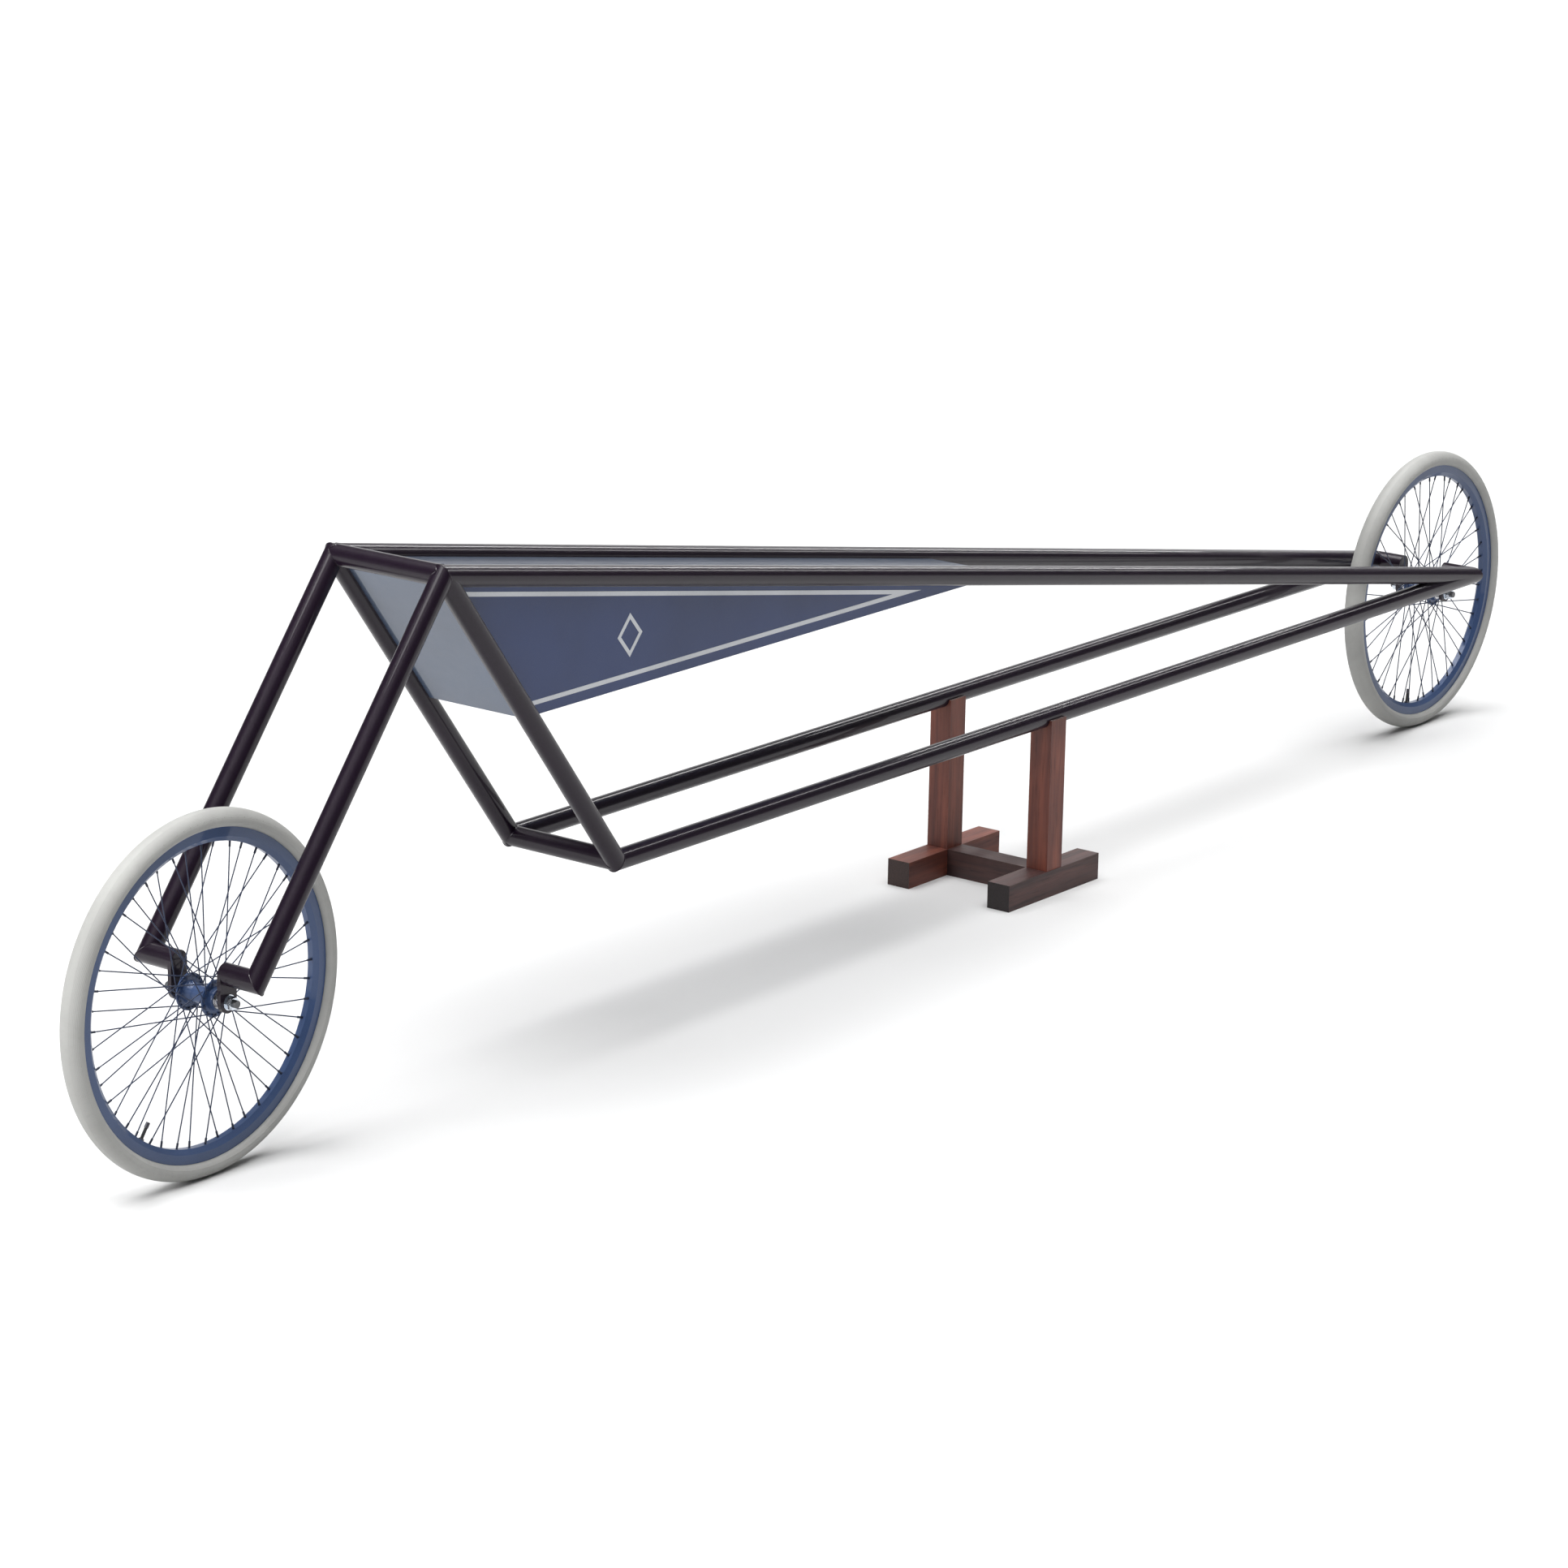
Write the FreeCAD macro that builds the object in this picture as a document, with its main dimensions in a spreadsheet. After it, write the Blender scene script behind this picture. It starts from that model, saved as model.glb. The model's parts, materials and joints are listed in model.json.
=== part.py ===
"""Long two-wheeled tube-frame vehicle resting on a low hardwood stand.

Frame of the model: +X is forward, +Y is the left side, +Z is up.  The origin lies on the floor,
midway between the two axles.  All sizes are in millimetres.
"""
import FreeCAD, Part
import math
import os

import Sketcher

from FreeCAD import Placement, Rotation, Vector

os.makedirs("parts", exist_ok=True)
doc = FreeCAD.newDocument("tube_frame_vehicle")


# ---------------------------------------------------------------- driving dimensions

DRIVING = {
    # wheels
    "wheelbase": 4117.0,
    "tyre_radius": 330.0,
    "tyre_crown_arc": 25.5,
    "tyre_shoulder_half": 22.0,
    "tyre_side_arc": 13.0,
    "tyre_wall": 3.5,
    "tyre_hollow": 15.5,
    "bead_width": 3.5,
    "bead_depth": 15.0,
    "rim_edge_radius": 298.0,
    "rim_floor_radius": 272.0,
    "rim_knee_rise": 9.0,
    "rim_half_width": 13.0,
    "rim_floor_half": 6.0,
    "rim_wall": 2.0,
    "rim_tape_half": 6.0,
    "rim_tape_thickness": 0.8,
    "spoke_radius": 1.15,
    "spoke_circle": 28.5,
    "spoke_head_radius": 2.0,
    "spoke_head_height": 1.4,
    "nipple_radius": 2.0,
    "nipple_head_radius": 3.0,
    "nipple_length": 13.0,
    "nipple_head_height": 1.6,
    "spoke_hole_radius": 2.6,
    "valve_radius": 3.0,
    "valve_reach": 31.0,
    "valve_nut_radius": 5.2,
    "valve_nut_height": 3.0,
    "valve_cap_radius": 3.8,
    "valve_cap_length": 10.0,
    # hubs and axles
    "hub_locknut_width": 110.0,
    "flange_offset": 30.0,
    "flange_radius": 33.5,
    "flange_thickness": 3.0,
    "barrel_radius": 15.5,
    "hub_shoulder_radius": 21.0,
    "hub_half_length": 41.0,
    "hub_bore_radius": 9.0,
    "cup_radius": 16.0,
    "cup_depth": 10.0,
    "ball_radius": 3.175,
    "ball_circle": 12.45,
    "cone_tip_radius": 8.6,
    "cone_radius": 12.0,
    "axle_radius": 7.0,
    "axle_length": 168.0,
    "locknut_height": 6.0,
    "locknut_across_flats": 23.0,
    "nut_across_flats": 21.0,
    "nut_height": 12.5,
    "washer_radius": 14.0,
    "washer_thickness": 2.0,
    # frame
    "tube_radius": 20.0,
    "tube_wall": 2.0,
    "rail_offset": 128.5,
    "top_corner_x": 1579.0,
    "top_corner_height": 1009.0,
    "low_corner_x": 1096.0,
    "low_rail_height": 384.0,
    "fork_foot_height": 380.0,
    "dropout_thickness": 8.0,
    "dropout_half_width": 20.0,
    # tank
    "panel_thickness": 2.0,
    "tank_side_offset": 118.5,
    "tank_front_share": 0.485,
    "tank_tail_x": -136.0,
    "tank_top_tail_x": -212.0,
    "tank_floor_start": 4.0,
    "tank_floor_end": 22.0,
    # stand
    "stand_x": -316.0,
    "foot_width": 55.0,
    "foot_height": 57.0,
    "foot_length": 328.0,
    "post_depth": 53.0,
    "post_width": 52.0,
    "saddle_depth": 18.5,
    "saddle_gap": 0.3,
    "dowel_radius": 6.0,
    "dowel_length": 40.0,
    "dowel_spacing": 26.0,
}

SPOKE_COUNT = 48
SPOKE_SWEEP = 60.0
BALLS_PER_SIDE = 11
FRONT_VALVE_ANGLE = -55.4
REAR_VALVE_ANGLE = -79.5
MARGIN = 60.0
SPOKE_STAGGER = 2.0
DUST_CAP_THICKNESS = 1.5

sheet = doc.addObject("Spreadsheet::Sheet", "Sizes")
for row, (alias, number) in enumerate(DRIVING.items(), start=1):
    sheet.set(f"A{row}", alias)
    sheet.set(f"B{row}", str(number))
    sheet.setAlias(f"B{row}", alias)
doc.recompute()


class Size:
    """A number that also knows the spreadsheet expression it comes from."""

    def __init__(self, number, text):
        self.number = number
        self.text = text

    def joined(self, other, sign, number):
        return Size(number, f"({self.text} {sign} {as_size(other).text})")

    def __add__(self, other):
        return self.joined(other, "+", self.number + as_size(other).number)

    def __sub__(self, other):
        return self.joined(other, "-", self.number - as_size(other).number)

    def __mul__(self, factor):
        return self.joined(factor, "*", self.number * as_size(factor).number)

    def __truediv__(self, factor):
        return self.joined(factor, "/", self.number / as_size(factor).number)

    def __rsub__(self, other):
        return as_size(other) - self

    def __neg__(self):
        return Size(-self.number, f"(0 - {self.text})")

    def __float__(self):
        return float(self.number)


def as_size(value):
    return value if isinstance(value, Size) else Size(float(value), repr(float(value)))


def hypotenuse(first, second):
    text = f"sqrt({first.text} ^ 2 + {second.text} ^ 2)"
    return Size(math.hypot(first.number, second.number), text)


def short_side(slope, side):
    """The second short side of a right triangle, from its sloping side and its first short side."""
    number = math.sqrt(slope.number ** 2 - side.number ** 2)
    return Size(number, f"sqrt({slope.text} ^ 2 - {side.text} ^ 2)")


class Sheet:
    """Gives each driving dimension as a Size: sizes.tube_radius, sizes.wheelbase and so on."""

    def __getattr__(self, alias):
        return Size(float(sheet.get(alias)), f"Sizes.{alias}")


sizes = Sheet()
nodes = {}


# ---------------------------------------------------------------- building blocks

def bind(item, **dimensions):
    for name, size in dimensions.items():
        item.setExpression(name, as_size(size).text)
    return item


def primitive(kind, place, **dimensions):
    item = doc.addObject("Part::" + kind, kind)
    item.Placement = place
    return bind(item, **dimensions)


def along(start, direction):
    """Placement that carries local +Z to the given direction, from the given point."""
    return Placement(start, Rotation(Vector(0, 0, 1), direction))


def cylinder(start, direction, radius, length):
    return primitive("Cylinder", along(start, direction), Radius=radius, Height=length)


def box(corner, length, width, height):
    return primitive("Box", Placement(corner, Rotation()), Length=length, Width=width, Height=height)


def cut(base, *tools):
    for tool in tools:
        result = doc.addObject("Part::Cut", "Cut")
        result.Base = base
        result.Tool = tool
        base = result
    return base


def fuse(*items):
    result = doc.addObject("Part::MultiFuse", "Fusion")
    result.Shapes = list(items)
    return result


def group(items):
    """Several separate solids kept together in one node."""
    result = doc.addObject("Part::Compound", "Group")
    result.Links = list(items)
    return result


def node(label, item):
    item.Label = label
    nodes[label] = item
    return item


def behind_plane(point, normal):
    """A large block that fills the space on the side of the plane that the normal points to."""
    reach = 10 * MARGIN
    block = primitive("Box", Placement(), Length=reach, Width=reach, Height=reach)
    turn = Rotation(Vector(0, 0, 1), normal)
    block.Placement = Placement(point - turn.multVec(Vector(reach / 2, reach / 2, 0)), turn)
    return block


def origin_feature(body, role):
    return next(item for item in body.Origin.OriginFeatures if item.Role == role)


def sketch_outline(body, role, outline):
    """Draw a closed outline of (across, up) corners on one of the body's origin planes.

    A corner with a third and fourth value is reached by an arc of that radius and centre.  Every
    corner and arc radius is bound to the spreadsheet.
    """
    sketch = body.newObject("Sketcher::SketchObject", "Profile")
    sketch.AttachmentSupport = [(origin_feature(body, role), "")]
    sketch.MapMode = "FlatFace"
    corners = [Vector(float(entry[0]), float(entry[1]), 0) for entry in outline]
    ends = []
    for index, entry in enumerate(outline):
        start = corners[index - 1]
        finish = corners[index]
        if len(entry) == 2:
            sketch.addGeometry(Part.LineSegment(start, finish), False)
            ends.append((1, 2))
        else:
            centre = Vector(float(entry[3][0]), float(entry[3][1]), 0)
            first = math.atan2(start.y - centre.y, start.x - centre.x)
            last = math.atan2(finish.y - centre.y, finish.x - centre.x)
            circle = Part.Circle(centre, Vector(0, 0, 1), float(entry[2]))
            sketch.addGeometry(Part.ArcOfCircle(circle, min(first, last), max(first, last)), False)
            ends.append((2, 1) if last < first else (1, 2))
    for index in range(len(outline)):
        following = (index + 1) % len(outline)
        joint = Sketcher.Constraint("Coincident", index, ends[index][1], following, ends[following][0])
        sketch.addConstraint(joint)
    for index, entry in enumerate(outline):
        corner = ends[index][1]
        for kind, size, axis in (("DistanceX", entry[0], -2), ("DistanceY", entry[1], -1)):
            if abs(float(size)) < 1e-9:
                sketch.addConstraint(Sketcher.Constraint("PointOnObject", index, corner, axis))
                continue
            number = sketch.addConstraint(Sketcher.Constraint(kind, -1, 1, index, corner, float(size)))
            sketch.setExpression(f"Constraints[{number}]", as_size(size).text)
        if len(entry) == 4:
            number = sketch.addConstraint(Sketcher.Constraint("Radius", index, float(entry[2])))
            sketch.setExpression(f"Constraints[{number}]", as_size(entry[2]).text)
    return sketch


def turned(outline, place):
    """A body of revolution about its own Y axis, from a closed outline of (radius, along) corners."""
    body = doc.addObject("PartDesign::Body", "Turned")
    turn = body.newObject("PartDesign::Revolution", "Revolution")
    sketch = sketch_outline(body, "XY_Plane", outline)
    turn.Profile = sketch
    turn.ReferenceAxis = (sketch, ["V_Axis"])
    turn.Angle = 360
    body.Tip = turn
    body.Placement = place
    return body


def both_ends(half_outline):
    """Close a half outline, given from the middle outwards, with its mirror image."""
    return list(half_outline) + [(radius, -offset) for radius, offset in reversed(half_outline)]


def flat_plate(outline, offset, thickness):
    """A plate parallel to the XZ plane from (x, z) corners, its middle at the given Y offset."""
    body = doc.addObject("PartDesign::Body", "Plate")
    sketch = sketch_outline(body, "XZ_Plane", outline)
    pad = body.newObject("PartDesign::Pad", "Pad")
    pad.Profile = sketch
    pad.Midplane = True
    bind(pad, Length=thickness)
    body.Tip = pad
    body.Placement = Placement(Vector(0, float(offset), 0), Rotation())
    return body


# ---------------------------------------------------------------- places that several pieces share

HALF_BASE = sizes.wheelbase / 2
FORK_FOOT = (HALF_BASE, sizes.fork_foot_height)
TOP_CORNER = (sizes.top_corner_x, sizes.top_corner_height)
LOW_CORNER = (sizes.low_corner_x, sizes.low_rail_height)
REAR_APEX = (-HALF_BASE, sizes.low_rail_height)
AXLE_HEIGHT = sizes.tyre_radius
ACROSS = Vector(0, 1, 0)
DROPOUT_INNER = sizes.hub_locknut_width / 2
DROPOUT_OUTER = DROPOUT_INNER + sizes.dropout_thickness
TYRE_HOLLOW_CENTRE = sizes.tyre_radius - sizes.tyre_wall - sizes.tyre_hollow
INNER_TUBE = sizes.tyre_hollow - 0.5
SIDES = (("left", 1), ("right", -1))
WHEELS = (("front", HALF_BASE, FRONT_VALVE_ANGLE), ("rear", -HALF_BASE, REAR_VALVE_ANGLE))


def point(place, across):
    return Vector(float(place[0]), float(across), float(place[1]))


def direction(start, finish):
    step = point(finish, 0) - point(start, 0)
    return step / step.Length


def distance(start, finish):
    return hypotenuse(finish[0] - start[0], finish[1] - start[1])


def ring_point(x, radius, degrees, across):
    """A point at a radius and angle about an axle; the angle runs from +X towards +Z."""
    angle = math.radians(degrees)
    height = float(AXLE_HEIGHT) + float(radius) * math.sin(angle)
    return Vector(float(x) + float(radius) * math.cos(angle), float(across), height)


# ---------------------------------------------------------------- frame tubes

def round_bar(start, heading, length, radius):
    """A cylinder of the given length, longer by the trimming margin at both ends."""
    return cylinder(start - heading * MARGIN, heading, radius, length + 2 * MARGIN)


def side_bar(start, finish, across):
    """The full round of a side tube, used to cope the tubes that end against it."""
    heading = direction(start, finish)
    return round_bar(point(start, across), heading, distance(start, finish), sizes.tube_radius)


def mitred_tube(start, heading, length, mitres):
    """A tube trimmed at each (corner, own heading, other heading) by the plane between the two."""
    outer = round_bar(start, heading, length, sizes.tube_radius)
    bore = round_bar(start, heading, length, sizes.tube_radius - sizes.tube_wall)
    blocks = [behind_plane(corner, other - own) for corner, own, other in mitres]
    return cut(outer, bore, *blocks)


def side_tube(start, finish, across, mitres):
    """A side tube; each mitre is (corner, direction of the other member away from that corner)."""
    heading = direction(start, finish)
    corners = []
    for corner, other in mitres:
        own = heading if corner is start else -heading
        corners.append((point(corner, across), own, other))
    return mitred_tube(point(start, across), heading, distance(start, finish), corners)


def stub(corner, sign, members):
    """The short tube from a corner inwards to its dropout, mitred against each member there."""
    heading = Vector(0, -sign, 0)
    start = point(corner, sign * sizes.rail_offset.number)
    length = sizes.rail_offset - DROPOUT_OUTER
    mitres = [(start, heading, member) for member in members]
    tube = mitred_tube(start, heading, length, mitres)
    return cut(tube, behind_plane(point(corner, sign * DROPOUT_OUTER.number), heading))


def dropout(corner, x, sign):
    """Flat plate with round ends that hangs from a stub and holds the axle."""
    face = sign * DROPOUT_INNER.number
    heading = Vector(0, sign, 0)
    width = sizes.dropout_half_width
    drop = corner[1] - AXLE_HEIGHT
    low = min(face, sign * DROPOUT_OUTER.number)
    web = box(Vector(float(x - width), low, float(AXLE_HEIGHT)), width * 2, sizes.dropout_thickness, drop)
    ends = [cylinder(Vector(float(x), face, float(height)), heading, width, sizes.dropout_thickness)
            for height in (AXLE_HEIGHT, corner[1])]
    hole = cylinder(Vector(float(x), face - sign * MARGIN, float(AXLE_HEIGHT)), heading,
                    sizes.axle_radius + 0.1, 2 * MARGIN)
    return cut(fuse(web, *ends), hole)


def crossbar(corner, headings):
    """A tube across the frame, coped onto the side tubes that leave the corner in each heading.

    The first two side tubes are mitred to each other, and a third one ends at the corner.
    """
    span = sizes.rail_offset * 2
    start = point(corner, -sizes.rail_offset.number)
    outer = cylinder(start, ACROSS, sizes.tube_radius, span)
    bore = cylinder(start, ACROSS, sizes.tube_radius - sizes.tube_wall, span)
    copes = []
    for _, sign in SIDES:
        joint = point(corner, sign * sizes.rail_offset.number)
        for index, heading in enumerate(headings):
            bar = round_bar(joint, heading, as_size(MARGIN), sizes.tube_radius)
            normal = headings[1 - index] - heading if index < 2 else -heading
            copes.append(cut(bar, behind_plane(joint, normal)))
    return cut(outer, bore, *copes)


def build_frame():
    rail = direction(TOP_CORNER, REAR_APEX)
    leg = direction(TOP_CORNER, FORK_FOOT)
    down = direction(TOP_CORNER, LOW_CORNER)
    low = direction(LOW_CORNER, REAR_APEX)
    for name, sign in SIDES:
        across = sign * sizes.rail_offset.number
        inward = Vector(0, -sign, 0)
        node(f"fork_leg_{name}", side_tube(TOP_CORNER, FORK_FOOT, across, [
            (TOP_CORNER, rail), (FORK_FOOT, inward)]))
        node(f"top_rail_{name}", side_tube(TOP_CORNER, REAR_APEX, across, [
            (TOP_CORNER, leg), (REAR_APEX, -low), (REAR_APEX, inward)]))
        node(f"lower_rail_{name}", side_tube(LOW_CORNER, REAR_APEX, across, [
            (LOW_CORNER, -down), (REAR_APEX, -rail), (REAR_APEX, inward)]))
        down_tube = side_tube(TOP_CORNER, LOW_CORNER, across, [(LOW_CORNER, low)])
        node(f"down_tube_{name}", cut(
            down_tube, side_bar(TOP_CORNER, FORK_FOOT, across), side_bar(TOP_CORNER, REAR_APEX, across),
            behind_plane(point(TOP_CORNER, across), -down)))
        node(f"front_stub_{name}", stub(FORK_FOOT, sign, [-leg]))
        node(f"rear_stub_{name}", stub(REAR_APEX, sign, [-rail, -low]))
        node(f"front_dropout_{name}", dropout(FORK_FOOT, HALF_BASE, sign))
        node(f"rear_dropout_{name}", dropout(REAR_APEX, -HALF_BASE, sign))
    node("top_crossbar", crossbar(TOP_CORNER, [leg, rail, down]))
    node("lower_crossbar", crossbar(LOW_CORNER, [-down, low]))


# ---------------------------------------------------------------- tank

def rail_height_at(x):
    """Height of the top rails' centre line above a point along the vehicle."""
    run = (sizes.top_corner_height - sizes.low_rail_height) / (sizes.top_corner_x + HALF_BASE)
    return sizes.top_corner_height - (sizes.top_corner_x - x) * run


def sloped_panel(start, finish, half_width, lift):
    """A sheet across the vehicle between two (x, z) places, raised square to itself by lift."""
    heading = direction(start, finish)
    normal = heading.cross(Vector(0, -1, 0))
    turn = Rotation(heading, Vector(0, 1, 0), normal, "XYZ")
    base = point(start, 0) - Vector(0, float(half_width), 0) + normal * lift
    panel = box(base, distance(start, finish), half_width * 2, sizes.panel_thickness)
    panel.Placement = Placement(base, turn)
    return panel


def cross_round():
    """The full round of the top cross bar, used to cope the panels that end against it."""
    return cylinder(point(TOP_CORNER, -sizes.rail_offset.number), ACROSS, sizes.tube_radius,
                    sizes.rail_offset * 2)


def coped(panel, members):
    """A panel cut to lie against the rounds of the side tubes in each (start, finish) line."""
    bars = [side_bar(first, last, sign * sizes.rail_offset.number)
            for first, last in members for _, sign in SIDES]
    return cut(panel, *bars)


def build_tank():
    tank_foot = (sizes.top_corner_x - (sizes.top_corner_x - sizes.low_corner_x) * sizes.tank_front_share,
                 sizes.top_corner_height
                 - (sizes.top_corner_height - sizes.low_rail_height) * sizes.tank_front_share)
    tail = (sizes.tank_tail_x, rail_height_at(sizes.tank_tail_x))
    top_tail = (sizes.tank_top_tail_x, rail_height_at(sizes.tank_top_tail_x))
    down = (TOP_CORNER, LOW_CORNER)
    rail = (TOP_CORNER, REAR_APEX)
    half_thickness = sizes.panel_thickness.number / 2
    for name, sign in SIDES:
        side = flat_plate([TOP_CORNER, tank_foot, tail], sign * sizes.tank_side_offset.number,
                          sizes.panel_thickness)
        node(f"tank_side_{name}", coped(side, [down, rail]))
    front = sloped_panel(TOP_CORNER, tank_foot, sizes.rail_offset, -half_thickness)
    node("tank_front", cut(coped(front, [down]), cross_round()))
    top = sloped_panel(TOP_CORNER, top_tail, sizes.rail_offset, -half_thickness)
    node("tank_top", cut(coped(top, [rail]), cross_round()))
    half_width = sizes.tank_side_offset - sizes.panel_thickness / 2
    heading = direction(tank_foot, tail)
    base = point(tank_foot, 0) + heading * sizes.tank_floor_start.number
    end = point(tail, 0) - heading * sizes.tank_floor_end.number
    floor_start = (as_size(base.x), as_size(base.z))
    floor_end = (as_size(end.x), as_size(end.z))
    node("tank_floor", coped(sloped_panel(floor_start, floor_end, half_width, 0), [down, rail]))


# ---------------------------------------------------------------- wheels

def rim_outline():
    """Deep single-wall channel: a narrow flat floor, sloped knees and upright side walls."""
    knee = sizes.rim_floor_radius + sizes.rim_knee_rise
    inside = sizes.rim_half_width - sizes.rim_wall
    return both_ends([
        (sizes.rim_floor_radius, sizes.rim_floor_half),
        (knee, sizes.rim_half_width),
        (sizes.rim_edge_radius, sizes.rim_half_width),
        (sizes.rim_edge_radius, inside),
        (knee + 1.0, inside),
        (sizes.rim_floor_radius + sizes.rim_wall, sizes.rim_floor_half - 1.0),
    ])


def tyre_outline():
    """Round crown, fuller side walls, and two beads that sit between the rim's walls."""
    gap = 0.3
    crown_centre = sizes.tyre_radius - sizes.tyre_crown_arc
    shoulder_rise = short_side(sizes.tyre_crown_arc, sizes.tyre_shoulder_half)
    shoulder = (crown_centre + shoulder_rise, sizes.tyre_shoulder_half)
    share = 1 - sizes.tyre_side_arc / sizes.tyre_crown_arc
    side_centre = (crown_centre + shoulder_rise * share, sizes.tyre_shoulder_half * share)
    lip = sizes.rim_edge_radius + gap
    half_lip = side_centre[1] + short_side(sizes.tyre_side_arc, side_centre[0] - lip)
    foot = lip - sizes.bead_depth
    bead_out = sizes.rim_half_width - sizes.rim_wall - gap
    bead_in = bead_out - sizes.bead_width
    inner_end = TYRE_HOLLOW_CENTRE - short_side(sizes.tyre_hollow, bead_in)
    crown = (sizes.tyre_crown_arc, (crown_centre, 0))
    hollow = (sizes.tyre_hollow, (TYRE_HOLLOW_CENTRE, 0))
    mirrored_centre = (side_centre[0], -side_centre[1])
    return [
        (sizes.tyre_radius, 0, *crown),
        (*shoulder, *crown),
        (lip, half_lip, sizes.tyre_side_arc, side_centre),
        (lip, bead_out),
        (foot, bead_out),
        (foot, bead_in),
        (inner_end, bead_in),
        (TYRE_HOLLOW_CENTRE + sizes.tyre_hollow, 0, *hollow),
        (inner_end, -bead_in, *hollow),
        (foot, -bead_in),
        (foot, -bead_out),
        (lip, -bead_out),
        (lip, -half_lip),
        (shoulder[0], -shoulder[1], sizes.tyre_side_arc, mirrored_centre),
    ]


def tape_outline():
    """Thin band on the rim's floor, over the nipple heads."""
    floor = sizes.rim_floor_radius + sizes.rim_wall + sizes.nipple_head_height + 1.5
    top = floor + sizes.rim_tape_thickness
    return both_ends([(floor, sizes.rim_tape_half), (top, sizes.rim_tape_half)])


def hub_outline():
    """Waisted barrel between two tall flanges, with a bearing cup in each end."""
    flange_in = sizes.flange_offset - sizes.flange_thickness / 2
    flange_out = sizes.flange_offset + sizes.flange_thickness / 2
    cup_floor = sizes.hub_half_length - sizes.cup_depth
    return both_ends([
        (sizes.barrel_radius, flange_in / 2),
        (sizes.hub_shoulder_radius, flange_in),
        (sizes.flange_radius, flange_in),
        (sizes.flange_radius, flange_out),
        (sizes.hub_shoulder_radius, flange_out),
        (sizes.hub_shoulder_radius - 1.5, sizes.hub_half_length),
        (sizes.cup_radius, sizes.hub_half_length),
        (sizes.cup_radius, cup_floor),
        (sizes.hub_bore_radius, cup_floor),
    ])


def cone_outline(sign):
    """Bearing cone on the axle, from inside the cup out to the locknut."""
    tip = sizes.hub_half_length - sizes.cup_depth + 0.6
    slope_start = tip + 4.0
    slope_end = slope_start + 4.0
    back = sizes.hub_locknut_width / 2 - sizes.locknut_height
    corners = [
        (sizes.axle_radius, tip),
        (sizes.cone_tip_radius, tip),
        (sizes.cone_tip_radius, slope_start),
        (sizes.cone_radius, slope_end),
        (sizes.cone_radius, back),
        (sizes.axle_radius, back),
    ]
    if sign > 0:
        return corners
    return [(radius, -offset) for radius, offset in corners]


def washer_ring(x, start, sign, outer_radius, inner_radius, thickness):
    """A flat ring on the axle, from a given distance off the middle outwards."""
    base = Vector(float(x), sign * float(start), float(AXLE_HEIGHT))
    heading = Vector(0, sign, 0)
    ring = cylinder(base, heading, outer_radius, thickness)
    return cut(ring, cylinder(base, heading, inner_radius, thickness))


def hex_nut(x, start, sign, across_flats, height):
    """A six-sided nut on the axle."""
    base = Vector(float(x), sign * float(start), float(AXLE_HEIGHT))
    heading = Vector(0, sign, 0)
    prism = primitive("Prism", along(base, heading),
                      Circumradius=across_flats / math.sqrt(3), Height=height)
    prism.Polygon = 6
    return cut(prism, cylinder(base, heading, sizes.axle_radius, height))


def spoke(x, sign, hub_angle, rim_angle, outside):
    """One spoke with its elbow and head, and the nipple that ties it to the rim."""
    stand_off = sizes.flange_thickness.number / 2 + sizes.spoke_radius.number + 0.2
    flange = sizes.flange_offset.number
    run_side = 1 if outside else -1
    hub_end = ring_point(x, sizes.spoke_circle, hub_angle, sign * (flange + run_side * stand_off))
    head_end = ring_point(x, sizes.spoke_circle, hub_angle, sign * (flange - run_side * stand_off))
    rim_end = ring_point(x, sizes.rim_floor_radius, rim_angle, sign * SPOKE_STAGGER)
    heading = rim_end - hub_end
    heading.normalize()
    shank = sizes.nipple_length - sizes.rim_wall
    nipple_start = rim_end - heading * shank.number
    run = cylinder(hub_end, heading, sizes.spoke_radius, (nipple_start - hub_end).Length)
    elbow = cylinder(hub_end, head_end - hub_end, sizes.spoke_radius, 2 * stand_off)
    head = cylinder(head_end, head_end - hub_end, sizes.spoke_head_radius, sizes.spoke_head_height)
    body = cylinder(nipple_start, heading, sizes.nipple_radius, sizes.nipple_length)
    top = nipple_start + heading * sizes.nipple_length.number
    cap = cylinder(top, heading, sizes.nipple_head_radius, sizes.nipple_head_height)
    return fuse(run, elbow, head), fuse(body, cap)


def spoke_angles():
    """Hub angle, rim angle and whether the spoke runs outside its flange, for both flanges."""
    per_side = SPOKE_COUNT // 2
    pitch = 360.0 / per_side
    for _, sign in SIDES:
        shift = 0.0 if sign > 0 else pitch / 2
        for index in range(per_side):
            leading = index % 2 == 0
            sweep = SPOKE_SWEEP if leading else -SPOKE_SWEEP
            hub_angle = index * pitch + shift
            yield sign, hub_angle, hub_angle + sweep, leading


def inner_tube(x):
    """Hollow rubber ring inside the tyre."""
    place = along(Vector(float(x), 0, float(AXLE_HEIGHT)), ACROSS)
    outer = primitive("Torus", place, Radius1=TYRE_HOLLOW_CENTRE, Radius2=INNER_TUBE)
    inner = primitive("Torus", place, Radius1=TYRE_HOLLOW_CENTRE, Radius2=INNER_TUBE - 1.2)
    return cut(outer, inner)


def valve_hardware(valve_start, floor_point, radial):
    """The ring nut that holds the stem against the rim, and the cap on the stem's tip."""
    nut_start = floor_point - radial * (sizes.valve_nut_height.number + 0.1)
    nut = cut(cylinder(nut_start, radial, sizes.valve_nut_radius, sizes.valve_nut_height),
              cylinder(nut_start, radial, sizes.valve_radius, sizes.valve_nut_height))
    cap_start = valve_start - radial * 2.0
    cap = cut(cylinder(cap_start, radial, sizes.valve_cap_radius, sizes.valve_cap_length),
              cylinder(valve_start, radial, sizes.valve_radius, sizes.valve_cap_length))
    return group([nut, cap])


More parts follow.
